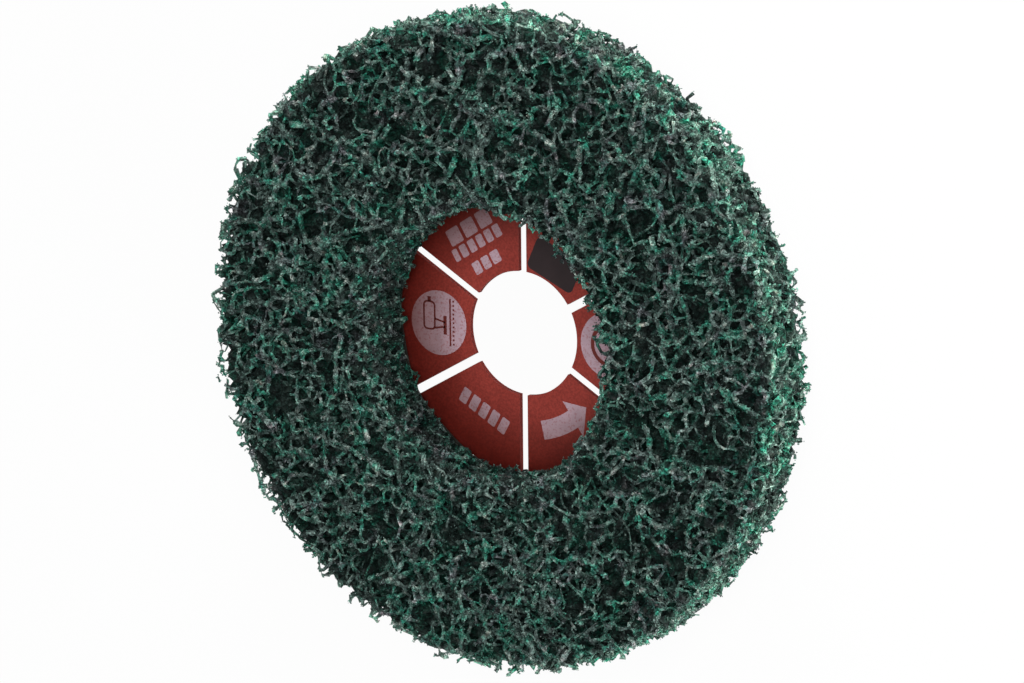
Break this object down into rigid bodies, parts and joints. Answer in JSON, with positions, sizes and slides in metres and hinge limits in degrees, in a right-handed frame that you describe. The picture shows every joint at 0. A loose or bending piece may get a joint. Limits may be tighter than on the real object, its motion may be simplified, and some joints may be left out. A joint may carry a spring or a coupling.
{
  "type": "surface conditioning disc",
  "caption": "Abrasive surface conditioning disc: a thick ring of open, grain-coated fibre web bonded to a thin slotted backing plate with a round arbor bore.",
  "frame": {"origin": "centre of the bore on the rear face of the backing plate, which the disc lies on", "axes": "+Z along the disc's axis from the plate towards the web's working face, +Y along one of the radial slots"},
  "size_m": [0.1159, 0.1158, 0.0155],
  "materials": {
    "abrasive_web": "matt dark green grain-coated nylon web",
    "bond_layer": "cured dark adhesive",
    "backing_plate": "satin brick-red fibre"
  },
  "bodies": {
    "root": {"abrasive_web": "abrasive_web", "bond_layer": "bond_layer", "backing_plate": "backing_plate"}
  },
  "joints": []
}
